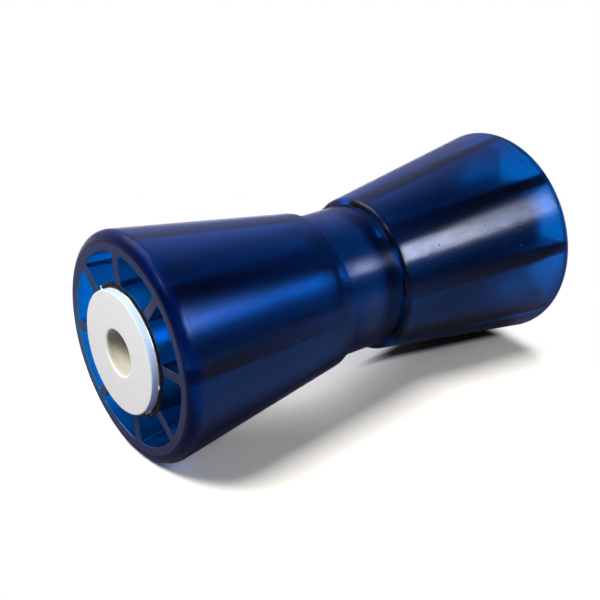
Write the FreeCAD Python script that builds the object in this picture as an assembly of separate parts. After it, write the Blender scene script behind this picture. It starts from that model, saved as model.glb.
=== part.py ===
import FreeCAD
import Part
import math
import os

# Keel roller for a boat trailer, lengths in millimetres and angles in degrees.
# The roller stands on its lower bush, with its axle line along +Z.
# The origin is the centre of the lower bush's outer face, and +X runs along one of the ribs.

# Lengths along the one-piece moulded body: two cones that meet at a neck
cone_length = 83.5
neck_length = 26.0
pocket_end_margin = 4.2

# Walls of the body, from its straight bore outwards
body_bore_radius = 22.0
hub_wall = 3.5
pocket_mouth_width = 12.0
pocket_tip_width = 4.7
rim_wall = 7.5
neck_wall = 8.0
shoulder_step = 2.5

# Ribs that join the hub to the rim in each end of the body
rib_count = 8
rib_thickness = 4.0
rib_draft_angle = 1.3

# Roundings of the body
rim_rounding = 4.0
shoulder_rounding = 2.2
pocket_corner_rounding = 1.0

# Flanged bush in each end, the upper one with a sleeve that runs on through the neck
shaft_bore_radius = 8.5
bore_chamfer = 0.4
flange_thickness = 3.0
flange_lip = 2.0
flange_chamfer = 0.3
pad_thickness = 0.5
pad_lip = 1.2
bush_floor = 6.0
sleeve_wall = 2.6
bore_tube_wall = 3.0
bush_web_count = 6
bush_web_thickness = 2.4
lead_in = 1.0

# Clearances
sleeve_clearance = 0.05
sleeve_end_gap = 2.0

# How far a cutting tool runs past the face that it cuts
overcut = 1.0

# Radii worked out from the walls
hub_radius = body_bore_radius + hub_wall
rim_mouth_radius = hub_radius + pocket_mouth_width
rim_radius = rim_mouth_radius + rim_wall
neck_radius = body_bore_radius + neck_wall
shoulder_radius = neck_radius + shoulder_step
sleeve_radius = body_bore_radius - sleeve_clearance
flange_radius = body_bore_radius + flange_lip
pad_radius = body_bore_radius + pad_lip

# Lengths and heights along the axle, worked out from the lengths above
body_length = 2 * cone_length + neck_length
pocket_depth = cone_length - pocket_end_margin
body_bottom = flange_thickness + pad_thickness
body_top = body_bottom + body_length
part_height = body_top + body_bottom
neck_bottom = body_bottom + cone_length
neck_top = body_top - cone_length
lower_bush_length = neck_bottom
upper_bush_length = part_height - lower_bush_length - sleeve_end_gap

AXLE = FreeCAD.Vector(0, 0, 1)
RIB_LINE = FreeCAD.Vector(1, 0, 0)
ORIGIN = FreeCAD.Vector(0, 0, 0)


def outline(corners):
    """Return a closed face whose corners (radius, height, rounding) are joined by lines and arcs."""
    places = [FreeCAD.Vector(radius, 0, height) for radius, height, rounding in corners]
    edges = []
    starts = []
    ends = []
    for index, corner in enumerate(places):
        rounding = corners[index][2]
        back = (places[index - 1] - corner).normalize()
        ahead = (places[(index + 1) % len(places)] - corner).normalize()
        half_angle = back.getAngle(ahead) / 2
        reach = rounding / math.tan(half_angle)
        starts.append(corner + back * reach)
        ends.append(corner + ahead * reach)
        if rounding > 0:
            inward = (back + ahead).normalize()
            middle = corner + inward * (rounding / math.sin(half_angle) - rounding)
            edges.append(Part.Arc(starts[-1], middle, ends[-1]).toShape())
    for index, end in enumerate(ends):
        following = starts[(index + 1) % len(starts)]
        edges.append(Part.LineSegment(end, following).toShape())
    return Part.Face(Part.Wire(Part.__sortEdges__(edges)))


def turned(corners, angle=360):
    """Revolve a half section about the axle, centred on the rib line if the turn is partial."""
    solid = outline(corners).revolve(ORIGIN, AXLE, angle)
    solid.rotate(ORIGIN, AXLE, -angle / 2)
    return solid


def spaced_round(shape, count):
    """Return copies of a shape, spaced evenly about the axle."""
    copies = []
    for index in range(count):
        copy = shape.copy()
        copy.rotate(ORIGIN, AXLE, index * 360 / count)
        copies.append(copy)
    return copies


def other_end(shape):
    """Return a copy of a shape, turned end for end about the middle of the part."""
    copy = shape.copy()
    copy.rotate(FreeCAD.Vector(0, 0, part_height / 2), RIB_LINE, 180)
    return copy


def rim_corner_radius():
    """Return where the cone's line meets the end plane, so that the rounded rim keeps its radius."""
    across = rim_radius - rim_rounding - shoulder_radius
    along = cone_length - rim_rounding
    wall_angle = math.atan2(across, along) + math.asin(rim_rounding / math.hypot(across, along))
    return shoulder_radius + cone_length * math.tan(wall_angle)


def body_blank():
    """Return the moulded body with its straight bore, before the pockets are cut."""
    corner_radius = rim_corner_radius()
    return turned([
        (body_bore_radius, body_bottom, 0),
        (corner_radius, body_bottom, rim_rounding),
        (shoulder_radius, neck_bottom, shoulder_rounding),
        (neck_radius, neck_bottom, 0),
        (neck_radius, neck_top, 0),
        (shoulder_radius, neck_top, shoulder_rounding),
        (corner_radius, body_top, rim_rounding),
        (body_bore_radius, body_top, 0),
    ])


def rib_blank(mouth, tip):
    """Return one rib as a drafted plate from the axle outwards, between two heights."""
    spread = math.tan(math.radians(rib_draft_angle))
    mouth_half = rib_thickness / 2 + spread * (mouth - body_bottom)
    tip_half = rib_thickness / 2 + spread * (tip - body_bottom)
    corners = [
        FreeCAD.Vector(0, -mouth_half, mouth),
        FreeCAD.Vector(0, mouth_half, mouth),
        FreeCAD.Vector(0, tip_half, tip),
        FreeCAD.Vector(0, -tip_half, tip),
    ]
    return Part.Face(Part.makePolygon(corners, True)).extrude(RIB_LINE * rim_radius)


def pocket():
    """Return the space of one pocket at the lower end, between two ribs."""
    pitch = 360 / rib_count
    mouth = body_bottom - overcut
    tip = body_bottom + pocket_depth
    tip_radius = hub_radius + pocket_tip_width
    wall_slope = (rim_mouth_radius - tip_radius) / pocket_depth
    ring = turned([
        (hub_radius, mouth, 0),
        (rim_mouth_radius + wall_slope * overcut, mouth, 0),
        (tip_radius, tip, 0),
        (hub_radius, tip, 0),
    ], pitch)
    rib = rib_blank(mouth, tip + overcut)
    ribs = []
    for side in (-1, 1):
        copy = rib.copy()
        copy.rotate(ORIGIN, AXLE, side * pitch / 2)
        ribs.append(copy)
    space = ring.cut(ribs)
    long_corners = [edge for edge in space.Edges if edge.BoundBox.ZLength > pocket_depth / 2]
    rounding = min(pocket_corner_rounding, 0.4 * pocket_tip_width)
    space = space.makeFillet(rounding, long_corners)
    space.rotate(ORIGIN, AXLE, pitch / 2)
    return space


def roller_body():
    """Return the body: two ribbed hollow cones that meet at a plain neck."""
    lower_pockets = spaced_round(pocket(), rib_count)
    upper_pockets = [other_end(space) for space in lower_pockets]
    return body_blank().cut(lower_pockets + upper_pockets)


def end_bush(length):
    """Return a flanged bush in the lower end, cored out from its inner end between thin webs."""
    blank = turned([
        (shaft_bore_radius, bore_chamfer, 0),
        (shaft_bore_radius + bore_chamfer, 0, 0),
        (flange_radius - flange_chamfer, 0, 0),
        (flange_radius, flange_chamfer, 0),
        (flange_radius, flange_thickness, 0),
        (pad_radius, flange_thickness, 0),
        (pad_radius, body_bottom, 0),
        (sleeve_radius, body_bottom, 0),
        (sleeve_radius, length - lead_in, 0),
        (sleeve_radius - lead_in, length, 0),
        (shaft_bore_radius, length, 0),
    ])
    core_inner = shaft_bore_radius + bore_tube_wall
    core_outer = sleeve_radius - sleeve_wall
    core_end = length + overcut
    core = turned([
        (core_inner, bush_floor, 0),
        (core_outer, bush_floor, 0),
        (core_outer, core_end, 0),
        (core_inner, core_end, 0),
    ])
    web = Part.makeBox(sleeve_radius, bush_web_thickness, core_end)
    web.translate(FreeCAD.Vector(0, -bush_web_thickness / 2, 0))
    return blank.cut(core.cut(spaced_round(web, bush_web_count)))


def main():
    """Build each piece and write it to parts/."""
    os.makedirs("parts", exist_ok=True)
    pieces = {
        "roller_body": roller_body(),
        "end_bush_lower": end_bush(lower_bush_length),
        "end_bush_upper": other_end(end_bush(upper_bush_length)),
    }
    for name, shape in pieces.items():
        print(name, len(shape.Solids), "solid", shape.isValid(), round(shape.Volume), "mm3")
        shape.exportStep(f"parts/{name}.step")


main()
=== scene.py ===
"""Keel roller for a boat trailer, dressed for the studio in translucent blue with white bushes."""

import functools
import logging
import math
from collections.abc import Callable
from dataclasses import dataclass, field
from enum import Enum

import bmesh
import bpy
import numpy as np
from mathutils import Matrix, Vector


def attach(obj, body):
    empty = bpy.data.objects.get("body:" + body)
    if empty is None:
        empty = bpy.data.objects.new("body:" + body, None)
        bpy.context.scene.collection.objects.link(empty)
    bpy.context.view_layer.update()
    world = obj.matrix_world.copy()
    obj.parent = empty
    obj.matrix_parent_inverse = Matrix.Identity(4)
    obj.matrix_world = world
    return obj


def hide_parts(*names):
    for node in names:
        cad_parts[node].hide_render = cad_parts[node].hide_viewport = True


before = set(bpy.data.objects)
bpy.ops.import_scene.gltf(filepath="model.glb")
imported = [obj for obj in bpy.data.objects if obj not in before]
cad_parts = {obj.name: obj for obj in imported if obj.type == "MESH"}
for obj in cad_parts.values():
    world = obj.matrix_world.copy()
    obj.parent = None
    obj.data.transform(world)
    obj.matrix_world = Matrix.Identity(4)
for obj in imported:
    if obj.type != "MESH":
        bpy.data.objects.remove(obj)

log = logging.getLogger("keel_roller")

# Lengths and heights are in millimetres, up to where a mesh, a lamp or a node turns them into metres
MM = 0.001
PART_HEIGHT = 200.0
MIDDLE = PART_HEIGHT / 2
SLEEVE_JOINT = 88.0

# Name of the face attribute that tells the skin, the trimmed end face, the pockets and the bore apart
FINISH = "finish"
SKIN, TRIMMED, POCKET, BORE = 0, 1, 2, 3

# Rows of faces from the ring's border down the rounding of a pocket's mouth, which wear the face's finish
FACE_ROWS = 5

# Half angle in radians from which a corner counts as straight, and how near points in metres are one
STRAIGHT = 1.55
WELD = 2e-6

# Noise lies within these values nearly everywhere
NOISE_SPAN = {"From Min": 0.35, "From Max": 0.65}

Point = tuple[float, float, float]
Face = tuple[int, ...]
Line = list[tuple[float, float]]
AddNode = Callable[[str, dict], bpy.types.NodeSocket | None]


class End(Enum):
    """Which end of the roller a piece belongs to."""

    LOWER = "lower"
    UPPER = "upper"


class Reach(Enum):
    """What a lamp lights."""

    ROLLER = "roller"
    TABLE = "table"


@dataclass
class Shell:
    """Part of a piece's surface, in millimetres, with the number of the finish that each face wears."""

    points: list[Point]
    faces: list[Face]
    finishes: list[int]

    def at_end(self, end: End) -> "Shell":
        """Put a shell that was made for the lower end in either end.

        Args:
            end: The end that it is for.

        Returns:
            The shell as it is, or turned end for end about the part's middle.
        """
        if end is End.LOWER:
            return self
        turned_over = [(x, -y, PART_HEIGHT - z) for x, y, z in self.points]
        return Shell(turned_over, self.faces, self.finishes)

    def raised(self, start: float, way: float) -> "Shell":
        """Return the shell with its third coordinate measured from another height, up or down."""
        return Shell([(x, y, start + way * z) for x, y, z in self.points], self.faces, self.finishes)


def to_linear(code: str) -> tuple[float, float, float, float]:
    """Turn an sRGB hex colour into linear light.

    Args:
        code: Six hex digits after a hash sign.

    Returns:
        Red, green and blue in linear light, and an alpha of 1.
    """
    parts = [int(code[place : place + 2], 16) / 255 for place in (1, 3, 5)]
    light = [part / 12.92 if part <= 0.04045 else ((part + 0.055) / 1.055) ** 2.4 for part in parts]
    return light[0], light[1], light[2], 1.0


def add_node(tree: bpy.types.NodeTree, kind: str, settings: dict) -> bpy.types.NodeSocket | None:
    """Add one node, with its settings and the links into it.

    Args:
        tree: The node tree that gets the node.
        kind: The node's type name.
        settings: Values by attribute name, or by the name or number of an input. An output socket is
            linked to its input, and any other value is set on it.

    Returns:
        The first of the node's outputs that is in use, if it has one.
    """
    node = tree.nodes.new(kind)
    inputs = {}
    for key, value in settings.items():
        if isinstance(key, str) and hasattr(node, key):
            setattr(node, key, value)
        else:
            inputs[key] = value
    sockets = {socket.name: socket for socket in reversed(node.inputs) if socket.enabled}
    for key, value in inputs.items():
        socket = node.inputs[key] if isinstance(key, int) else sockets[key]
        if isinstance(value, bpy.types.NodeSocket):
            tree.links.new(value, socket)
        else:
            socket.default_value = value
    return next((output for output in node.outputs if output.enabled), None)


def new_material(name: str) -> tuple[bpy.types.Material, AddNode]:
    """Make an empty material.

    Args:
        name: The material's name.

    Returns:
        The material, and what adds a node to it.
    """
    material = bpy.data.materials.new(name)
    material.use_nodes = True
    material.node_tree.nodes.clear()
    return material, functools.partial(add_node, material.node_tree)


def radius_from_axle(add: AddNode, place: bpy.types.NodeSocket) -> bpy.types.NodeSocket:
    """Return the distance from the axle in metres, worked out from a point in the part's frame."""
    level = add("ShaderNodeVectorMath", {"operation": "MULTIPLY", 0: place, 1: (1.0, 1.0, 0.0)})
    return add("ShaderNodeVectorMath", {"operation": "LENGTH", 0: level})


def metres(span: tuple[float, float]) -> dict[str, float]:
    """Return the limits of a fade between two lengths in millimetres."""
    return {"From Min": span[0] * MM, "From Max": span[1] * MM}


def heading(angle: float) -> np.ndarray:
    """Return the unit vector at an angle in radians from the first axis."""
    return np.array([math.cos(angle), math.sin(angle)])


def faces_round(count: int, steps: int) -> list[Face]:
    """Join sections that go once round the axle.

    Args:
        count: How many points each section has.
        steps: How many sections there are.

    Returns:
        The four-sided faces between each section and the next. Each section's last face runs from
        its end back to its start.
    """
    faces = []
    for step in range(steps):
        here, there = step * count, (step + 1) % steps * count
        for corner in range(count):
            after = (corner + 1) % count
            faces.append((here + corner, there + corner, there + after, here + after))
    return faces


def turned(line: Line, steps: int, finish: int = SKIN) -> Shell:
    """Sweep an open half section round the axle.

    Args:
        line: Points of the section as radius and height in millimetres.
        steps: How many faces go round.
        finish: Number of the finish that the surface wears.

    Returns:
        The swept surface in four-sided faces.
    """
    points = []
    for step in range(steps):
        angle = 2 * math.pi * step / steps
        points += [(radius * math.cos(angle), radius * math.sin(angle), height) for radius, height in line]
    # An open line has no face from its end back to its start
    faces = [face for face in faces_round(len(line), steps) if face[3] > face[0]]
    return Shell(points, faces, [finish] * len(faces))


def softened(corners: list[Point], arc_steps: int, longest: float) -> Line:
    """Round the corners of an open line and divide its long runs.

    Args:
        corners: Radius, height and rounding of each corner in millimetres.
        arc_steps: Pieces in each rounding.
        longest: Longest run left undivided, in millimetres.

    Returns:
        The line's points as radius and height.
    """
    places = [np.array(corner[:2]) for corner in corners]
    line = [places[0]]
    for index in range(1, len(places) - 1):
        rounding = corners[index][2]
        corner = places[index]
        back = places[index - 1] - corner
        back /= np.linalg.norm(back)
        ahead = places[index + 1] - corner
        ahead /= np.linalg.norm(ahead)
        half_angle = math.acos(max(-1.0, min(1.0, float(back @ ahead)))) / 2
        if rounding == 0 or half_angle > STRAIGHT:
            line.append(corner)
            continue
        middle = (back + ahead) / np.linalg.norm(back + ahead)
        centre = corner + middle * rounding / math.sin(half_angle)
        start = corner + back * rounding / math.tan(half_angle) - centre
        end = corner + ahead * rounding / math.tan(half_angle) - centre
        opening = math.pi - 2 * half_angle
        for step in range(arc_steps + 1):
            share = step / arc_steps
            weight = math.sin((1 - share) * opening), math.sin(share * opening)
            line.append(centre + (start * weight[0] + end * weight[1]) / math.sin(opening))
    line.append(places[-1])
    divided = [tuple(line[0])]
    for first, second in zip(line, line[1:]):
        pieces = max(1, math.ceil(float(np.linalg.norm(second - first)) / longest))
        divided += [tuple(first + (second - first) * step / pieces) for step in range(1, pieces + 1)]
    return divided


def both_halves(half: list[Point]) -> list[Point]:
    """Return the corners of a line's lower half, followed by those of the upper half like it."""
    return half + [(radius, PART_HEIGHT - height, rounding) for radius, height, rounding in half[::-1]]


@dataclass(frozen=True)
class PocketRing:
    """A flat ring-shaped face with equal pockets sunk in it between ribs, in millimetres."""

    count: int
    bore_radius: float
    face_radius: float
    hub_radius: float
    mouth_radius: float
    tip_radius: float
    depth: float
    rib_thickness: float
    rib_spread: float
    corner_rounding: float
    mouth_rounding: float
    tip_rounding: float
    arc_steps: int = 13
    corner_steps: int = 6
    side_steps: int = 10
    depth_steps: int = 10
    rounding_steps: int = 4
    # How far outside a mouth's rounding the flat face's first row of points lies, in roundings
    apron: float = 1.8

    @property
    def steps_round(self) -> int:
        """How many faces go once round the ring."""
        return self.count * (2 * self.arc_steps + self.corner_steps)

    def half_outline(self, depth: float, grow: float) -> Line:
        """Return half a pocket's outline, from its outer wall's middle to its hub's middle.

        Args:
            depth: How far below the face the outline lies.
            grow: How far the outline stands outside the pocket's own walls.

        Returns:
            Points in the plane, with the pocket's middle along the first axis.
        """
        half_pitch = math.pi / self.count
        along = heading(half_pitch)
        inward = np.array([math.sin(half_pitch), -math.cos(half_pitch)])
        outer = self.mouth_radius + (self.tip_radius - self.mouth_radius) * depth / self.depth + grow
        inner = self.hub_radius - grow
        rounding = self.corner_rounding + grow
        off_rib = self.rib_thickness / 2 + self.rib_spread * depth - grow + rounding
        axle = np.zeros(2)
        outer_centre, inner_centre = (
            inward * off_rib + along * math.sqrt(distance**2 - off_rib**2)
            for distance in (outer - rounding, inner + rounding)
        )
        outer_angle = math.atan2(outer_centre[1], outer_centre[0])
        inner_angle = math.atan2(inner_centre[1], inner_centre[0])
        to_rib = math.atan2(-inward[1], -inward[0])

        def arc(centre: np.ndarray, size: float, first: float, last: float, steps: int) -> list[np.ndarray]:
            """Return the points of an arc without its last."""
            turns = [first + (last - first) * step / steps for step in range(steps)]
            return [centre + heading(turn) * size for turn in turns]

        start = outer_centre - inward * rounding
        run = (inner_centre - inward * rounding) - start
        points = arc(axle, outer, 0.0, outer_angle, self.arc_steps)
        points += arc(outer_centre, rounding, outer_angle, to_rib, self.corner_steps)
        points += [start + run * step / self.side_steps for step in range(self.side_steps)]
        points += arc(inner_centre, rounding, to_rib, inner_angle + math.pi, self.corner_steps)
        points += arc(axle, inner, inner_angle, 0.0, self.arc_steps)
        points.append(heading(0.0) * inner)
        return [(float(x), float(y)) for x, y in points]

    def half_frame(self) -> Line:
        """Return half the border of one pocket's share of the face, with as many points."""
        half_pitch = math.pi / self.count
        arc = self.arc_steps + self.corner_steps // 2
        side = self.side_steps + self.corner_steps
        inward = self.bore_radius - self.face_radius
        places = [(self.face_radius, half_pitch * step / arc) for step in range(arc)]
        places += [(self.face_radius + inward * step / side, half_pitch) for step in range(side)]
        places += [(self.bore_radius, half_pitch * (1 - step / arc)) for step in range(arc + 1)]
        return [(radius * math.cos(angle), radius * math.sin(angle)) for radius, angle in places]

    def rows(self) -> list[tuple[float, Line]]:
        """Return the depth and half outline of each row of points, from the face down to the tip."""
        mouth = self.mouth_rounding
        tip = self.tip_rounding
        turns = [math.pi / 2 * step / self.rounding_steps for step in range(self.rounding_steps + 1)]
        first = 2 * mouth
        wall = self.depth - 2 * tip - first
        levels = [(0.0, self.apron * mouth)]
        levels += [(mouth * (1 - math.cos(turn)), mouth * (1 - math.sin(turn))) for turn in turns]
        levels += [(first + wall * step / self.depth_steps, 0.0) for step in range(self.depth_steps + 1)]
        levels += [(self.depth - tip * (1 - math.sin(turn)), tip * (math.cos(turn) - 1)) for turn in turns]
        rows = [(depth, self.half_outline(depth, grow)) for depth, grow in levels]
        return [(0.0, self.half_frame()), *rows]

    def shell(self, face_finish: int = SKIN, pocket_finish: int = SKIN) -> Shell:
        """Build the whole ring's surface.

        Args:
            face_finish: Number of the finish on the flat face.
            pocket_finish: Number of the finish inside the pockets.

        Returns:
            The surface, with depth as the third coordinate.
        """
        points: list[Point] = []
        faces: list[Face] = []
        finishes: list[int] = []
        rows = self.rows()
        size = 2 * (len(rows[0][1]) - 1)
        middle = size // 2
        for pocket in range(self.count):
            turn = 2 * math.pi * (pocket + 0.5) / self.count
            cosine, sine = math.cos(turn), math.sin(turn)
            base = len(points)
            for depth, half in rows:
                full = half + [(x, -y) for x, y in half[-2:0:-1]]
                points += [(x * cosine - y * sine, x * sine + y * cosine, depth) for x, y in full]
            start = len(faces)
            for row in range(len(rows) - 1):
                here = base + row * size
                for place in range(size):
                    after = (place + 1) % size
                    faces.append((here + place, here + after, here + size + after, here + size + place))
            tip = base + (len(rows) - 1) * size
            for place in range(middle // 2):
                one = (place, place + 1, middle - place - 1, middle - place)
                other = ((-place) % size, (-place - 1) % size, middle + place + 1, middle + place)
                # The faces at the two ends of the tip's floor name a corner twice, and have three
                faces += [tuple(dict.fromkeys(tip + corner for corner in side)) for side in (one, other)]
            trimmed = size * FACE_ROWS
            finishes += [face_finish] * trimmed + [pocket_finish] * (len(faces) - start - trimmed)
        return Shell(points, faces, finishes)


def closed_mesh(name: str, shells: list[Shell], material: bpy.types.Material) -> bpy.types.Object:
    """Join shells into one watertight object whose flats shade flat and whose roundings shade round.

    Args:
        name: The object's name.
        shells: The shells, which meet at shared borders.
        material: The material, which reads the number of each face's finish.

    Returns:
        The object, linked to the scene.
    """
    form = bmesh.new()
    numbers = form.faces.layers.float.new(FINISH)
    for shell in shells:
        corners = [form.verts.new(Vector(point) * MM) for point in shell.points]
        for face, finish in zip(shell.faces, shell.finishes):
            made = form.faces.new([corners[index] for index in face])
            made[numbers] = finish
    bmesh.ops.remove_doubles(form, verts=form.verts, dist=WELD)
    bmesh.ops.recalc_face_normals(form, faces=form.faces)
    open_edges = sum(1 for edge in form.edges if len(edge.link_faces) != 2)
    log.info("%s: %d faces, %d open edges", name, len(form.faces), open_edges)
    mesh = bpy.data.meshes.new(name)
    form.to_mesh(mesh)
    form.free()
    piece = bpy.data.objects.new(name, mesh)
    bpy.context.collection.objects.link(piece)
    mesh.materials.append(material)
    shade_by_area(mesh)
    return piece


def shade_by_area(mesh: bpy.types.Mesh) -> None:
    """Shade smooth, with each point's normal led by the largest faces round it.

    Args:
        mesh: The mesh to shade.
    """
    mesh.polygons.foreach_set("use_smooth", [True] * len(mesh.polygons))
    normals = np.zeros((len(mesh.vertices), 3))
    for face in mesh.polygons:
        weighted = np.array(face.normal) * face.area
        for corner in face.vertices:
            normals[corner] += weighted
    lengths = np.linalg.norm(normals, axis=1)
    lengths[lengths == 0] = 1
    mesh.normals_split_custom_set_from_vertices(normals / lengths[:, None])


@dataclass(frozen=True)
class TranslucentPolyurethane:
    """Cast polyurethane, dyed clear blue: light goes deep into it and comes out bluer.

    The skin keeps the mould's fine grain, the end faces are trimmed, and the pockets are smooth from
    their cores, so they mirror the blue round them and glow. Radii and heights are in millimetres.
    """

    name: str = "translucent_blue_polyurethane"
    tint: str = "#004CFF"
    dye: str = "#00EBEE"
    dye_per_metre: float = 730.0
    ior: float = 1.5
    # The trimmed end faces are cut through the skin, and look greyer and cloudy, the rims a little so
    trimmed_tint: str = "#505995"
    cloud: float = 0.25
    rim_wear: float = 0.1
    # How much the skin, the trimmed end face and the core side of the pockets blur what shows through
    roughness: tuple[float, float, float] = (0.3, 0.45, 0.16)
    # How much the skin, the trimmed face, the hub, the pockets' mouths and the bore mirror
    gloss: tuple[float, float, float, float, float] = (0.135, 0.09, 0.17, 1.0, 1.0)
    gloss_ior: float = 3.0
    skin_roughness: float = 0.14
    # How much of the skin's gloss is left on the rounded rims, and how far from the middle it fades
    rim_gloss: float = 0.18
    rim_start: tuple[float, float] = (90.5, 93.0)
    # How much the neck mirrors against the cones, in the band where keels rub it and away from that
    # band, the band's height and half width, and how far from the middle the cones start
    neck_gloss: tuple[float, float] = (1.85, 0.4)
    rubbed_height: float = 102.5
    rubbed_reach: tuple[float, float] = (1.5, 9.0)
    cone_start: tuple[float, float] = (12.8, 13.4)
    # Radii between which the pockets' walls go from the hub's gloss to the mouth's
    polish_radii: tuple[float, float] = (33.4, 36.0)
    # The mould's grain is finer than a tenth of a millimetre. It is drawn coarse enough to show
    grain: float = 0.4
    grain_size: float = 0.75
    grain_depth: float = 0.1
    # The grain mirrors unevenly, about two grains to the millimetre, which reads as sparkle
    sparkle: float = 0.6
    sparkle_size: float = 0.6

    def material(self) -> bpy.types.Material:
        """Return the finish as a material."""
        material, add = new_material(self.name)
        place = add("ShaderNodeTexCoord", {}).node.outputs["Object"]
        along = add("ShaderNodeSeparateXYZ", {0: place}).node.outputs["Z"]
        number = add("ShaderNodeAttribute", {"attribute_name": FINISH}).node.outputs["Fac"]
        outer = add("ShaderNodeMath", {"operation": "LESS_THAN", 0: number, 1: (SKIN + TRIMMED) / 2})
        on_face = add("ShaderNodeMath", {"operation": "COMPARE", 0: number, 1: float(TRIMMED), 2: 0.5})
        in_pocket, in_bore = (
            add("ShaderNodeMath", {"operation": "GREATER_THAN", 0: number, 1: (below + above) / 2})
            for below, above in ((TRIMMED, POCKET), (POCKET, BORE))
        )
        away = []
        for height in (MIDDLE, self.rubbed_height):
            over = add("ShaderNodeMath", {"operation": "SUBTRACT", 0: along, 1: height * MM})
            away.append(add("ShaderNodeMath", {"operation": "ABSOLUTE", 0: over}))
        from_middle, from_rub = away
        rim, cones, neck, polish = (
            add("ShaderNodeMapRange", {"Value": value, **metres(span), "To Min": low, "To Max": high})
            for value, span, (low, high) in (
                (from_middle, self.rim_start, (0.0, 1.0)),
                (from_middle, self.cone_start, (0.0, 1.0)),
                (from_rub, self.rubbed_reach, self.neck_gloss),
                (radius_from_axle(add, place), self.polish_radii, self.gloss[2:4]),
            )
        )
        # How far each place is cut through the skin: the end faces fully, the rounded rims a little
        rubbed = add("ShaderNodeMath", {"operation": "MULTIPLY", 0: rim, 1: outer})
        cut = add("ShaderNodeMath", {"operation": "MULTIPLY_ADD", 0: rubbed, 1: self.rim_wear, 2: on_face})
        clear = add("ShaderNodeMath", {"operation": "MULTIPLY_ADD", 0: cut, 1: -self.cloud, 2: 1.0})
        limits = {"From Max": TRIMMED, "To Min": self.roughness[0], "To Max": self.roughness[1]}
        roughness = add("ShaderNodeMapRange", {"Value": number, **limits})
        gloss, rub = (
            add("ShaderNodeMix", {"data_type": "FLOAT", "Factor": share, "A": under, "B": over})
            for share, under, over in (
                (rim, self.gloss[0], self.gloss[0] * self.rim_gloss),
                (cones, neck, 1.0),
            )
        )
        noise = {"Vector": place, "Scale": 1 / (self.sparkle_size * MM), "Detail": 1.0}
        limits = {**NOISE_SPAN, "To Min": 1 - self.sparkle, "To Max": 1 + self.sparkle}
        twinkle = add("ShaderNodeMapRange", {"Value": add("ShaderNodeTexNoise", noise), **limits})
        for share in (rub, twinkle):
            gloss = add("ShaderNodeMath", {"operation": "MULTIPLY", 0: gloss, 1: share})
        face, inner, roughness = (
            add("ShaderNodeMix", {"data_type": "FLOAT", "Factor": share, "A": under, "B": over})
            for share, under, over in (
                (on_face, gloss, self.gloss[1]),
                (in_bore, polish, self.gloss[4]),
                (in_pocket, roughness, self.roughness[2]),
            )
        )
        coat = add("ShaderNodeMix", {"data_type": "FLOAT", "Factor": in_pocket, "A": face, "B": inner})
        noise = {"Vector": place, "Scale": 1 / (self.grain_size * MM), "Detail": 2.0, "Roughness": 0.6}
        grain = {"Height": add("ShaderNodeTexNoise", noise), "Distance": self.grain_depth * MM}
        bump = add("ShaderNodeBump", {"Strength": self.grain, **grain})
        # The dye keeps one hue however deep the light goes, so the skin gives the hue once
        depth = add("ShaderNodeLightPath", {}).node.outputs["Transmission Depth"]
        deeper = add("ShaderNodeMath", {"operation": "GREATER_THAN", 0: depth, 1: 0.5})
        hue = to_linear(self.tint)
        for share, over in ((cut, self.trimmed_tint), (deeper, "#FFFFFF")):
            over = to_linear(over)
            hue = add("ShaderNodeMix", {"data_type": "RGBA", "Factor": share, "A": hue, "B": over})
        surface = add(
            "ShaderNodeBsdfPrincipled",
            {
                "IOR": self.ior,
                "Specular Tint": (0.0, 0.0, 0.0, 1.0),
                "Coat Roughness": self.skin_roughness,
                "Coat IOR": self.gloss_ior,
                "Coat Weight": coat,
                "Transmission Weight": clear,
                "Base Color": hue,
                "Roughness": roughness,
                "Normal": bump,
                "Coat Normal": bump,
            },
        )
        dye = {"Color": to_linear(self.dye), "Density": self.dye_per_metre}
        inside = add("ShaderNodeVolumeAbsorption", dye)
        add("ShaderNodeOutputMaterial", {"Surface": surface, "Volume": inside})
        return material


class Measure(Enum):
    """What a tone on the nylon follows."""

    RADIUS = "distance from the axle"
    MIDDLE = "distance from the part's middle"
    JOINT = "distance from the joint of the sleeves"
    GRAIN = "height of the grain"


@dataclass(frozen=True)
class Tone:
    """A colour laid over the nylon where a measure, in millimetres or from 0 to 1, nears a value."""

    colour: str
    measure: Measure
    none_at: float
    full_at: float
    strength: float = 1.0


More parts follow.
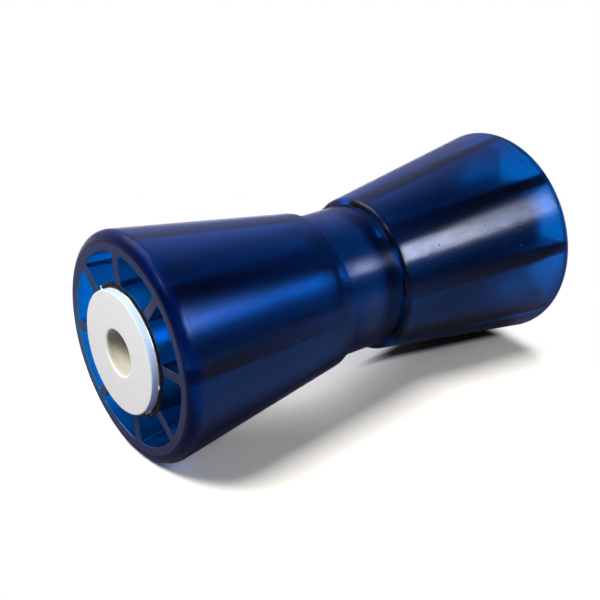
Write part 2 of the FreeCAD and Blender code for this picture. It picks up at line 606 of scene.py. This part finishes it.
@dataclass(frozen=True)
class MouldedNylon:
    """White nylon 6 from the mould, left unpainted: matt, a little warm, with specks of dirt, and with
    painted shade and a painted reflection in places.
    """

    name: str = "moulded_white_nylon"
    colour: str = "#F0EFEA"
    roughness: float = 0.55
    ior: float = 1.53
    # Moulded nylon is finely uneven, with dimples about a millimetre across
    grain: float = 0.1
    grain_size: float = 1.2
    grain_depth: float = 0.1
    tones: tuple[Tone, ...] = (
        # Painted shade: the bore is painted greyer and darker than the rest of the bush
        Tone("#C0BCAC", Measure.RADIUS, 9.1, 8.7),
        # Painted shade: the sleeve is painted a little darker where it runs under the neck, where it is
        # also thin
        Tone("#E8E8E4", Measure.MIDDLE, 33.0, 25.0),
        # Painted shade and painted reflection: the flange's edge is painted darker and bluer, for the blue
        # round it
        Tone("#B6C6DC", Measure.RADIUS, 23.5, 23.9),
        # A few specks of dirt lie where the grain stands highest
        Tone("#4A4438", Measure.GRAIN, 0.69, 0.72, 0.4),
        # Painted shade: a dark ring is painted where the two sleeves meet, and shows through the neck
        Tone("#5A5A68", Measure.JOINT, 22.6, 22.1),
    )

    def material(self) -> bpy.types.Material:
        """Return the finish as a material."""
        material, add = new_material(self.name)
        place = add("ShaderNodeTexCoord", {}).node.outputs["Object"]
        noise = {"Vector": place, "Scale": 1 / (self.grain_size * MM), "Detail": 4.0}
        grain = add("ShaderNodeTexNoise", noise)
        measures = {Measure.RADIUS: (radius_from_axle(add, place), MM), Measure.GRAIN: (grain, 1.0)}
        for measure, height in ((Measure.MIDDLE, MIDDLE), (Measure.JOINT, SLEEVE_JOINT)):
            point = (0.0, 0.0, height * MM)
            away = add("ShaderNodeVectorMath", {"operation": "DISTANCE", 0: place, 1: point})
            measures[measure] = (away, MM)
        colour = to_linear(self.colour)
        for tone in self.tones:
            value, unit = measures[tone.measure]
            limits = {"From Min": tone.none_at * unit, "From Max": tone.full_at * unit}
            share = add("ShaderNodeMapRange", {"Value": value, **limits, "To Max": tone.strength})
            over = to_linear(tone.colour)
            colour = add("ShaderNodeMix", {"data_type": "RGBA", "Factor": share, "A": colour, "B": over})
        relief = {"Height": grain, "Strength": self.grain, "Distance": self.grain_depth * MM}
        looks = {"Base Color": colour, "Roughness": self.roughness, "IOR": self.ior}
        surface = add("ShaderNodeBsdfPrincipled", {"Normal": add("ShaderNodeBump", relief), **looks})
        add("ShaderNodeOutputMaterial", {"Surface": surface})
        return material


@dataclass(frozen=True)
class PatchyCoat:
    """An opaque, patchy finish for small pieces: cured dark resin that is also painted shade, a burr of
    nylon, or dust.
    """

    name: str
    colour: str
    patches: str
    roughness: float
    ior: float = 1.5
    # Patches a little under a millimetre across, some wet-looking and some dull
    patch_size: float = 0.8
    patch_depth: float = 0.1
    relief: float = 0.3
    dullness: tuple[float, float] = (0.7, 1.4)

    def material(self) -> bpy.types.Material:
        """Return the finish as a material."""
        material, add = new_material(self.name)
        place = add("ShaderNodeTexCoord", {}).node.outputs["Object"]
        noise = {"Vector": place, "Scale": 1 / (self.patch_size * MM), "Detail": 2.0}
        patch = add("ShaderNodeTexNoise", noise)
        colours = {"A": to_linear(self.colour), "B": to_linear(self.patches)}
        colour = add("ShaderNodeMix", {"data_type": "RGBA", "Factor": patch, **colours})
        low, high = (min(1.0, self.roughness * share) for share in self.dullness)
        dullness = add("ShaderNodeMapRange", {"Value": patch, **NOISE_SPAN, "To Min": low, "To Max": high})
        relief = {"Height": patch, "Strength": self.relief, "Distance": self.patch_depth * MM}
        looks = {"Base Color": colour, "Roughness": dullness, "IOR": self.ior}
        surface = add("ShaderNodeBsdfPrincipled", {"Normal": add("ShaderNodeBump", relief), **looks})
        add("ShaderNodeOutputMaterial", {"Surface": surface})
        return material


@dataclass
class RollerBody:
    """The one-piece moulded body: two ribbed hollow cones that meet at a neck, in millimetres."""

    finish: TranslucentPolyurethane
    bottom: float = 3.5
    cone_length: float = 83.5
    bore_radius: float = 22.0
    rim_radius: float = 45.0
    neck_radius: float = 30.0
    shoulder_radius: float = 32.5
    rim_rounding: float = 4.0
    shoulder_rounding: float = 2.2
    neck_rounding: float = 0.4
    bore_rounding: float = 0.3
    rib_draft: float = 1.3

    def rim_corner(self) -> float:
        """Return where the cone's line meets the end plane, so that the rounded rim keeps its radius."""
        across = self.rim_radius - self.rim_rounding - self.shoulder_radius
        along = self.cone_length - self.rim_rounding
        wall_angle = math.atan2(across, along) + math.asin(self.rim_rounding / math.hypot(across, along))
        return self.shoulder_radius + self.cone_length * math.tan(wall_angle)

    def face_edge(self) -> float:
        """Return the radius at which the end face turns into the rim's rounding."""
        corner = self.rim_corner()
        wall_angle = math.atan2(self.cone_length, corner - self.shoulder_radius)
        return corner - self.rim_rounding / math.tan(wall_angle / 2)

    def outside(self) -> Line:
        """Return the outer line from one end face to the other."""
        neck = self.bottom + self.cone_length
        corner = self.rim_corner()
        half = [
            (self.face_edge(), self.bottom, 0),
            (corner, self.bottom, self.rim_rounding),
            (self.shoulder_radius, neck, self.shoulder_rounding),
            (self.neck_radius, neck, self.neck_rounding),
        ]
        return softened(both_halves(half), arc_steps=10, longest=2.5)

    def bore(self) -> Line:
        """Return the line of the bore from one end face to the other."""
        # A hair less than the whole rounding, so that its arc starts inside the line
        rounding = self.bore_rounding * 0.99
        edge = self.bore_radius + self.bore_rounding
        half = [(edge, self.bottom, 0), (self.bore_radius, self.bottom, rounding)]
        return softened(both_halves(half), arc_steps=4, longest=8)

    def build(self) -> bpy.types.Object:
        """Make the body and put it in the CAD node's place."""
        ring = PocketRing(
            count=8,
            bore_radius=self.bore_radius + self.bore_rounding,
            face_radius=self.face_edge(),
            hub_radius=25.5,
            mouth_radius=37.5,
            tip_radius=30.2,
            depth=79.3,
            rib_thickness=4.0,
            rib_spread=math.tan(math.radians(self.rib_draft)),
            corner_rounding=1.0,
            mouth_rounding=0.4,
            tip_rounding=0.95,
        )
        end_face = ring.shell(TRIMMED, POCKET).raised(self.bottom, 1)
        shells = [turned(self.outside(), ring.steps_round), turned(self.bore(), ring.steps_round, BORE)]
        shells += [end_face.at_end(end) for end in End]
        piece = closed_mesh("ribbed_body", shells, self.finish.material())
        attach(piece, "root")
        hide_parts("roller_body")
        return piece


@dataclass
class EndBush:
    """A flanged bush, cored out from its inner end between thin webs, in millimetres."""

    finish: MouldedNylon
    end: End
    length: float
    bore_radius: float = 8.5
    bore_rounding: float = 1.3
    flange_radius: float = 24.0
    flange_thickness: float = 3.0
    flange_rounding: float = 0.5
    back_rounding: float = 0.3
    pad_radius: float = 23.2
    pad_thickness: float = 0.5
    pad_rounding: float = 0.15
    sleeve_radius: float = 21.95
    lead_in: float = 1.0
    lead_rounding: float = 0.2
    inner_rounding: float = 0.3
    floor: float = 6.0
    core_outer: float = 19.35

    def side(self) -> Line:
        """Return the line from the bore's inner end, over the flange, to the sleeve's inner end."""
        seat = self.flange_thickness + self.pad_thickness
        corners = [
            (self.bore_radius + self.inner_rounding, self.length, 0),
            # A hair less than the whole rounding, so that its arc starts inside the line
            (self.bore_radius, self.length, self.inner_rounding - 0.01),
            (self.bore_radius, 0, self.bore_rounding),
            (self.flange_radius, 0, self.flange_rounding),
            (self.flange_radius, self.flange_thickness, self.back_rounding),
            (self.pad_radius, self.flange_thickness, self.pad_rounding),
            (self.pad_radius, seat, self.pad_rounding),
            (self.sleeve_radius, seat, self.pad_rounding),
            (self.sleeve_radius, self.length - self.lead_in, self.lead_rounding),
            (self.sleeve_radius - self.lead_in, self.length, 0),
        ]
        return softened(corners, arc_steps=5, longest=6)

    def build(self) -> bpy.types.Object:
        """Make the bush and put it in the CAD node's place."""
        ring = PocketRing(
            count=6,
            bore_radius=self.bore_radius + self.inner_rounding,
            face_radius=self.sleeve_radius - self.lead_in,
            hub_radius=11.5,
            mouth_radius=self.core_outer,
            tip_radius=self.core_outer,
            depth=self.length - self.floor,
            rib_thickness=2.4,
            rib_spread=0.0,
            corner_rounding=0.8,
            mouth_rounding=0.2,
            tip_rounding=0.5,
            arc_steps=9,
            side_steps=6,
            depth_steps=4,
        )
        shells = [turned(self.side(), ring.steps_round), ring.shell().raised(self.length, -1)]
        shells = [shell.at_end(self.end) for shell in shells]
        piece = closed_mesh(f"flanged_bush_{self.end.value}", shells, self.finish.material())
        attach(piece, "root")
        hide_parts(f"end_bush_{self.end.value}")
        return piece


@dataclass(frozen=True)
class Lump:
    """A local swelling of a ring: its angle and half width in degrees, and its size in millimetres."""

    angle: float
    half_width: float
    size: float

    def at(self, angle: float) -> float:
        """Return how far the lump stands out at an angle in degrees."""
        away = (angle - self.angle + 180) % 360 - 180
        return self.size * math.exp(-((away / self.half_width) ** 2))


@dataclass
class RaggedRing:
    """A thin ring round the bush whose outer edge is uneven, in millimetres at the lower end.

    Its section gives radius, height and share of the edge's unevenness. The unevenness is a sum of waves,
    by how many go round, and the lumps are copied from the photograph.
    """

    name: str
    finish: PatchyCoat
    slot: str
    section: tuple[Point, ...]
    lumps: tuple[Lump, ...]
    unevenness: float
    seed: int
    waves: tuple[int, ...] = (3, 7, 13, 29, 47, 83)
    steps: int = 720

    def edge(self) -> list[float]:
        """Return how far the outer edge stands out at each step round."""
        chance = np.random.default_rng(self.seed)
        waves = [(count, chance.uniform(0, 2 * math.pi)) for count in self.waves]
        out = []
        for step in range(self.steps):
            turn = 2 * math.pi * step / self.steps
            wave = sum(math.sin(count * turn + start) for count, start in waves) / len(waves)
            lump = max(lump.at(math.degrees(turn)) for lump in self.lumps)
            out.append(self.unevenness * wave + lump)
        return out

    def build(self, end: End) -> bpy.types.Object:
        """Make the ring.

        Args:
            end: The end of the roller that it belongs to.

        Returns:
            The ring as a piece on the root.
        """
        points = []
        for step, out in enumerate(self.edge()):
            turn = 2 * math.pi * step / self.steps
            for radius, height, share in self.section:
                reach = radius + share * out
                points.append((reach * math.cos(turn), reach * math.sin(turn), height))
        faces = faces_round(len(self.section), self.steps)
        shell = Shell(points, faces, [SKIN] * len(faces)).at_end(end)
        piece = closed_mesh(f"{self.name}_{end.value}", [shell], self.finish.material())
        # It casts no shadow and lets light on into the hub behind it, so the dark resin ring is painted
        # shade that blocks no light
        piece.visible_transmission = False
        piece.visible_shadow = False
        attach(piece, "root")
        return piece


@dataclass(frozen=True)
class Speck:
    """A grain on the skin: its height, its bearing in degrees, two half widths and its turn in radians."""

    height: float
    angle: float
    length: float
    width: float
    turn: float = 0.0


@dataclass
class SkinSpecks:
    """Grains and short scratches on the body's skin, joined in one piece."""

    name: str
    finish: PatchyCoat
    body: RollerBody
    specks: list[Speck]
    sides: int = 6
    # How far a speck's tip stands out of the skin, as a share of its half width
    standing: float = 0.5

    def radius(self, height: float) -> float:
        """Return the skin's radius at a height, away from its roundings."""
        radii, heights = zip(*self.body.outside())
        return float(np.interp(height, heights, radii))

    def build(self) -> bpy.types.Object:
        """Make each speck as a flat double cone, half sunk in the skin."""
        points = []
        faces = []
        for speck in self.specks:
            angle = math.radians(speck.angle)
            out = Vector((math.cos(angle), math.sin(angle), 0.0))
            round_way = Vector((-math.sin(angle), math.cos(angle), 0.0))
            centre = out * self.radius(speck.height) + Vector((0.0, 0.0, speck.height))
            first = round_way * math.sin(speck.turn) + Vector((0.0, 0.0, math.cos(speck.turn)))
            second = out.cross(first)
            base = len(points)
            tip = base + self.sides
            for side in range(self.sides):
                way = 2 * math.pi * side / self.sides
                place = centre + first * speck.length * math.cos(way) + second * speck.width * math.sin(way)
                points.append(tuple(place))
                here, after = base + side, base + (side + 1) % self.sides
                faces += [(here, after, tip), (after, here, tip + 1)]
            rise = out * speck.width * self.standing
            points += [tuple(centre + rise), tuple(centre - rise)]
        shell = Shell(points, faces, [SKIN] * len(faces))
        piece = closed_mesh(self.name, [shell], self.finish.material())
        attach(piece, "root")
        return piece


@dataclass(frozen=True)
class Dust:
    """Grains of dust strewn over the cones, in millimetres."""

    count: int = 150
    seed: int = 3
    half_widths: tuple[float, float] = (0.07, 0.16)
    stretches: tuple[float, float] = (1.0, 2.2)
    bands: tuple[tuple[float, float], ...] = ((8.0, 84.0), (116.0, 192.0))

    def grains(self) -> list[Speck]:
        """Return the grains, each in a random place."""
        chance = np.random.default_rng(self.seed)
        grains = []
        for _ in range(self.count):
            size = chance.uniform(*self.half_widths)
            height = chance.choice([chance.uniform(*band) for band in self.bands])
            stretch = chance.uniform(*self.stretches)
            angle, turn = chance.uniform(0, 360), chance.uniform(0, math.pi)
            grains.append(Speck(height, angle, size * stretch, size, turn))
        return grains


@dataclass(frozen=True)
class Softbox:
    """A soft lamp that faces the roller: bearing in degrees, size in metres, and glow of its face.

    The azimuth is 0 away from the camera and 90 to its right, and the distance is from the middle.
    """

    name: str
    azimuth: float
    elevation: float
    width: float
    height: float
    glow: float
    reach: Reach = Reach.ROLLER
    colour: str = "#E4EBFF"
    shows: bool = True
    distance: float = 0.8


# The table's own lamps are a little warm, which makes the shadow neutral beside the blue
TABLE_LIGHT = "#FFFBF2"

LAMPS = (
    Softbox("key_softbox", 121, 34, 0.225, 0.253, 15.5),
    Softbox("key_side", 147, 34, 0.225, 0.253, 15.5),
    Softbox("key_edge", 107, 34, 0.168, 0.253, 6.5),
    Softbox("key_spill", 96, 33, 0.14, 0.2, 0.5),
    Softbox("top_softbox", -52, 58, 0.58, 0.58, 2.5),
    Softbox("left_softbox", -136, 55, 0.3, 0.3, 30.0, colour="#FFFDF6", shows=False),
    Softbox("left_glint", -138, 50, 0.05, 0.3, 11.0),
    Softbox("table_key", -127, 55, 0.3, 0.3, 30.0, Reach.TABLE, TABLE_LIGHT),
    Softbox("table_side", 147, 34, 0.225, 0.253, 10.5, Reach.TABLE, TABLE_LIGHT),
    Softbox("table_back", -5, 25, 0.5, 0.3, 16.0, Reach.TABLE, TABLE_LIGHT),
    Softbox("table_far", 112, 35, 0.12, 0.12, 3.0, Reach.TABLE, TABLE_LIGHT, distance=0.35),
)


@dataclass(frozen=True)
class Table:
    """The white table: it shows the roller's shadow, painted darker under the far cone, and is plain white
    for the camera further out.

    Each fade runs between two distances in millimetres.
    """

    half_width: float = 3000.0
    rim_gap: float = 0.02
    # Plain white comes with the distance from the roller's middle, behind the roller, and past its ends
    far_out: tuple[float, float] = (160.0, 340.0)
    behind: tuple[float, float] = (-50.0, -90.0)
    past_ends: tuple[float, float] = (89.0, 100.5)
    ends_middle: float = 105.0
    # A shadow is painted on the table in the gap under the far cone: its tone, its half width at the
    # far rim, how much that narrows for each millimetre along the axle, and where it ends
    painted_shadow_tone: float = 0.03
    painted_shadow_edge: tuple[float, float] = (17.0, 23.0)
    painted_shadow_taper: float = 0.25
    painted_shadow_end: tuple[float, float] = (62.0, 88.0)
    # What the roller's skin mirrors and spreads: a grey table near, and a paler one that sweeps up
    near_tone: str = "#646472"
    far_tone: str = "#C8C8D4"
    sweep_length: float = 250.0
    # What shows through the roller
    through_tone: float = 0.98


@dataclass(frozen=True)
class World:
    """The plain white surroundings, which are dim for all but the camera, apart from a bright part.

    A plain white world would wash out the navy that the roller's skin mirrors from dark surroundings.
    """

    # The bright part: azimuth and elevation of its middle, cosines of the angles off its middle
    # at which it starts and is full, its strength there, and how fast it falls off
    bearing: tuple[float, float] = (-30.0, 15.0)
    start: float = 0.1
    full: float = 0.87
    strength: float = 0.58
    falloff: float = 2.5
    floor: float = 0.02
    # Strength for rays that mirror or spread, and what is added for those that have come through the
    # roller, and again for those of them that have met nothing matt
    mirrored: float = 1.45
    through: float = 0.18
    clear: float = 2.3
    mirrored_tint: str = "#B0BCFF"
    through_tint: str = "#D2D8FF"


@dataclass
class Studio:
    """The table that the roller lies on, the lamps and the world round it, and the camera."""

    # The photograph has the roller lying on its two rims. The table is the plane that touches both.
    up: Vector = Vector((0.99346, -0.11404, 0.0))
    right: Vector = Vector((-0.06910, -0.60144, -0.79593))
    rim_radius: float = 45.0
    camera_place: Point = (162.685, -355.176, 370.513)
    camera_up: Vector = Vector((0.93247, 0.24463, -0.26581))
    focal_length: float = 68.93
    sensor_width: float = 36.0
    table: Table = Table()
    world: World = World()
    receivers: dict[Reach, bpy.types.Collection] = field(default_factory=dict)

    @property
    def back(self) -> Vector:
        """Direction along the table away from the camera."""
        return self.up.cross(self.right).normalized()

    @property
    def across(self) -> Vector:
        """Direction along the table, square to the axle, towards the camera."""
        return self.up.cross(Vector((0.0, 0.0, 1.0)))

    def bearing(self, azimuth: float, elevation: float) -> Vector:
        """Return a direction in the part's frame.

        Args:
            azimuth: Degrees round the table, 0 away from the camera and 90 to its right.
            elevation: Degrees above the table.

        Returns:
            The unit vector.
        """
        turn, rise = math.radians(azimuth), math.radians(elevation)
        level = self.right * math.sin(turn) + self.back * math.cos(turn)
        return level * math.cos(rise) + self.up * math.sin(rise)

    def add_camera(self) -> None:
        """Place the camera where the photograph was taken from."""
        camera = bpy.data.objects.new("studio_camera", bpy.data.cameras.new("studio_camera"))
        camera.data.sensor_width = self.sensor_width
        camera.data.lens = self.focal_length
        camera.data.clip_start = 0.01
        backward = self.right.cross(self.camera_up).normalized()
        upward = backward.cross(self.right).normalized()
        turn = Matrix((self.right.normalized(), upward, backward)).transposed()
        camera.matrix_world = Matrix.Translation(Vector(self.camera_place) * MM) @ turn.to_4x4()
        bpy.context.collection.objects.link(camera)
        bpy.context.scene.camera = camera

    def add_lamp(self, box: Softbox) -> None:
        """Add a softbox that faces the roller, with its sides level with the table.

        Args:
            box: The softbox.
        """
        towards = self.bearing(box.azimuth, box.elevation)
        across = self.up.cross(towards).normalized()
        turn = Matrix((across, towards.cross(across), towards)).transposed()
        lamp = bpy.data.objects.new(box.name, bpy.data.lights.new(box.name, "AREA"))
        lamp.data.shape = "RECTANGLE"
        lamp.data.size = box.width
        lamp.data.size_y = box.height
        lamp.data.energy = box.glow * math.pi * box.width * box.height
        lamp.data.color = to_linear(box.colour)[:3]
        place = Vector((0, 0, MIDDLE * MM)) + towards * box.distance
        lamp.matrix_world = Matrix.Translation(place) @ turn.to_4x4()
        bpy.context.collection.objects.link(lamp)
        lamp.visible_glossy = box.shows
        lamp.light_linking.receiver_collection = self.receivers[box.reach]

    def add_table(self) -> None:
        """Add the table, and the collections that tell each lamp what it lights."""
        centre = -self.up * (self.rim_radius + self.table.rim_gap) * MM + Vector((0, 0, MIDDLE * MM))
        reach = self.table.half_width * MM
        corners = [
            centre + self.right * across * reach + self.back * along * reach
            for across, along in ((-1, -1), (1, -1), (1, 1), (-1, 1))
        ]
        mesh = bpy.data.meshes.new("table")
        mesh.from_pydata(corners, [], [(0, 1, 2, 3)])
        table = bpy.data.objects.new("table", mesh)
        bpy.context.collection.objects.link(table)
        mesh.materials.append(self.table_material())
        # The roller's lamps leave the table out, so that its own lamps alone make the shadow
        for reach, state in ((Reach.ROLLER, "EXCLUDE"), (Reach.TABLE, "INCLUDE")):
            lit = bpy.data.collections.new(f"{reach.value}_lamps")
            lit.objects.link(table)
            lit.collection_objects[0].light_linking.link_state = state
            self.receivers[reach] = lit

    def table_material(self) -> bpy.types.Material:
        """Return the table's finish: matt white, see-through from below."""
        table = self.table
        material, add = new_material("white_table")
        path = add("ShaderNodeLightPath", {}).node.outputs
        place = add("ShaderNodeTexCoord", {}).node.outputs["Object"]
        along = add("ShaderNodeSeparateXYZ", {0: place}).node.outputs["Z"]
        foot = tuple((Vector((0, 0, MIDDLE)) - self.up * self.rim_radius) * MM)
        from_foot = add("ShaderNodeVectorMath", {"operation": "DISTANCE", 0: place, 1: foot})
        nearer, backward = (
            add("ShaderNodeVectorMath", {"operation": "DOT_PRODUCT", 0: place, 1: tuple(way)})
            for way in (self.across, self.back)
        )
        from_middle = add("ShaderNodeMath", {"operation": "SUBTRACT", 0: along, 1: table.ends_middle * MM})
        to_ends, aside = (
            add("ShaderNodeMath", {"operation": "ABSOLUTE", 0: value}) for value in (from_middle, nearer)
        )
        # Painted shadow: how far a place is from the gap under the far cone, which narrows towards the neck
        gap = {0: along, 1: table.painted_shadow_taper, 2: aside}
        from_painted_shadow = add("ShaderNodeMath", {"operation": "MULTIPLY_ADD", **gap})
        sweep_start = self.back.z * MIDDLE
        smooth = {"interpolation_type": "SMOOTHSTEP"}
        far_out, behind, past_ends, past_painted_shadow, in_painted_shadow, sweep = (
            add("ShaderNodeMapRange", {**smooth, "Value": value, **metres(span), "To Min": low})
            for value, span, low in (
                (from_foot, table.far_out, 0.0),
                (nearer, table.behind, 0.0),
                (to_ends, table.past_ends, 0.0),
                (along, table.painted_shadow_end, 0.0),
                (from_painted_shadow, table.painted_shadow_edge, table.painted_shadow_tone),
                (backward, (sweep_start, sweep_start + table.sweep_length), 0.0),
            )
        )
        either = add("ShaderNodeMath", {"operation": "ADD", 0: behind, 1: past_ends})
        either = add("ShaderNodeMath", {"operation": "ADD", "use_clamp": True, 0: either, 1: far_out})
        plain = add("ShaderNodeMath", {"operation": "MULTIPLY", 0: path["Is Camera Ray"], 1: either})
        # Painted shadow: the camera sees the table dark in the gap under the far cone
        painted_shadow = add("ShaderNodeMath", {"operation": "MAXIMUM", 0: in_painted_shadow, 1: past_painted_shadow})
        tone = to_linear(table.near_tone)
        for share, over in (
            (sweep, to_linear(table.far_tone)),
            (path["Is Transmission Ray"], (table.through_tone,) * 3 + (1.0,)),
            (path["Is Camera Ray"], painted_shadow),
        ):
            tone = add("ShaderNodeMix", {"data_type": "RGBA", "Factor": share, "A": tone, "B": over})
        lit = add("ShaderNodeBsdfDiffuse", {"Color": tone})
        white = add("ShaderNodeEmission", {"Color": to_linear("#FFFFFF"), "Strength": 1.0})
        top = add("ShaderNodeMixShader", {0: plain, 1: lit, 2: white})
        below = add("ShaderNodeNewGeometry", {}).node.outputs["Backfacing"]
        both = add("ShaderNodeMixShader", {0: below, 1: top, 2: add("ShaderNodeBsdfTransparent", {})})
        add("ShaderNodeOutputMaterial", {"Surface": both})
        return material

    def add_world(self) -> None:
        """Surround the scene, plain white for the camera."""
        sky = self.world
        world = bpy.data.worlds.new("studio")
        bpy.context.scene.world = world
        world.cycles.sampling_method = "NONE"
        world.use_nodes = True
        world.node_tree.nodes.clear()
        add = functools.partial(add_node, world.node_tree)
        path = add("ShaderNodeLightPath", {}).node.outputs
        way = add("ShaderNodeTexCoord", {}).node.outputs["Generated"]
        middle = tuple(self.bearing(*sky.bearing))
        facing = add("ShaderNodeVectorMath", {"operation": "DOT_PRODUCT", 0: way, 1: middle})
        limits = {"From Min": sky.start, "From Max": sky.full, "To Max": sky.strength ** (1 / sky.falloff)}
        rise = add("ShaderNodeMapRange", {"Value": facing, **limits})
        lobe = add("ShaderNodeMath", {"operation": "POWER", 0: rise, 1: sky.falloff})
        dome = add("ShaderNodeMath", {"operation": "ADD", 0: lobe, 1: sky.floor})
        clear = add("ShaderNodeMath", {"operation": "LESS_THAN", 0: path["Diffuse Depth"], 1: 0.5})
        boost = add("ShaderNodeMath", {"operation": "MULTIPLY_ADD", 0: clear, 1: sky.clear, 2: sky.through})
        shares = {0: path["Is Transmission Ray"], 1: boost, 2: sky.mirrored}
        through = add("ShaderNodeMath", {"operation": "MULTIPLY_ADD", **shares})
        dome = add("ShaderNodeMath", {"operation": "MULTIPLY", 0: dome, 1: through})
        seen = {"data_type": "FLOAT", "Factor": path["Is Camera Ray"], "A": dome, "B": 1.0}
        strength = add("ShaderNodeMix", seen)
        colour = to_linear(sky.mirrored_tint)
        for kind, tint in (("Is Transmission Ray", sky.through_tint), ("Is Camera Ray", "#FFFFFF")):
            tints = {"Factor": path[kind], "A": colour, "B": to_linear(tint)}
            colour = add("ShaderNodeMix", {"data_type": "RGBA", **tints})
        white = add("ShaderNodeBackground", {"Color": colour, "Strength": strength})
        add("ShaderNodeOutputWorld", {"Surface": white})

    def build(self) -> None:
        """Set up the camera, the table, the world and the lamps."""
        bpy.context.scene.view_settings.view_transform = "Standard"
        self.add_camera()
        self.add_table()
        self.add_world()
        for box in LAMPS:
            self.add_lamp(box)


# Dark resin squeezed out of the joint between bush and hub, drawn near-black as painted shade where the
# flange shades the hub's end
RESIN_AND_SHADE = RaggedRing(
    "resin_and_shade_ring",
    PatchyCoat("resin_and_painted_shade", "#0B0A12", "#15131C", 0.3, ior=1.25),
    "blue_polyurethane",
    section=(
        (23.4, 3.55, 0.0),
        (23.4, 3.05, 0.0),
        (24.4, 2.95, 0.0),
        (24.8, 2.75, 0.3),
        (25.2, 2.9, 0.8),
        (25.5, 3.3, 1.0),
        (25.45, 3.55, 1.0),
    ),
    lumps=(Lump(-232, 13, 1.3), Lump(-262, 14, 0.7), Lump(-14, 12, 0.8), Lump(-203, 8, 0.7)),
    unevenness=0.4,
    seed=11,
)

# Thin flash left by the mould behind the flange
BURRS = RaggedRing(
    "flange_burrs",
    PatchyCoat("nylon_burr", "#F6F6F4", "#E2E4E8", 0.5),
    "white_nylon",
    section=(
        (23.3, 3.0, 0.0),
        (23.3, 2.7, 0.0),
        (23.9, 2.7, 0.3),
        (24.03, 2.95, 1.0),
        (23.9, 3.05, 0.8),
    ),
    lumps=(
        Lump(-30, 1.6, 2.0),
        Lump(-33.5, 1.2, 1.0),
        Lump(-340, 4, 0.5),
        Lump(-299, 5, 0.9),
        Lump(-292, 2, 0.7),
        Lump(-252, 2, 1.3),
        Lump(-214, 3, 1.7),
        Lump(-207, 2, 1.4),
    ),
    unevenness=0.1,
    seed=5,
)

# Specks of dirt and short scratches, where the photograph has them
MARKS = [
    Speck(68.5, 296, 0.42, 0.36),
    Speck(103, 299.5, 1.1, 0.12, 0.5),
    Speck(104, 301, 0.8, 0.1, 0.9),
    Speck(60, 276, 0.2, 0.2),
    Speck(52, 301, 0.2, 0.15),
    Speck(12.5, 297, 1.6, 0.07, 0.9),
    Speck(10.2, 294.5, 1.5, 0.07, 0.6),
    Speck(7.7, 291.5, 1.4, 0.06, 1.1),
]
PALE_SPOTS = [Speck(64, 283, 0.25, 0.2), Speck(30.5, 281, 0.2, 0.15)]


def main() -> None:
    """Build the studio and the roller."""
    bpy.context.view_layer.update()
    Studio().build()
    log.info("studio ready")
    nylon = MouldedNylon()
    body = RollerBody(TranslucentPolyurethane())
    pieces = [
        body.build(),
        EndBush(nylon, End.LOWER, length=87.0).build(),
        EndBush(nylon, End.UPPER, length=111.0).build(),
    ]
    pieces += [ring.build(end) for end in End for ring in (RESIN_AND_SHADE, BURRS)]
    dirt = PatchyCoat("dirt", "#0A090E", "#16141A", 0.8)
    dust = PatchyCoat("dust", "#8088A0", "#989EB4", 0.9)
    pieces.append(SkinSpecks("dark_specks", dirt, body, MARKS).build())
    pieces.append(SkinSpecks("pale_dust", dust, body, Dust().grains() + PALE_SPOTS).build())
    for piece in pieces:
        log.info("%s: %d points", piece.name, len(piece.data.vertices))


if __name__ == "__main__":
    logging.basicConfig(level=logging.INFO)
    main()
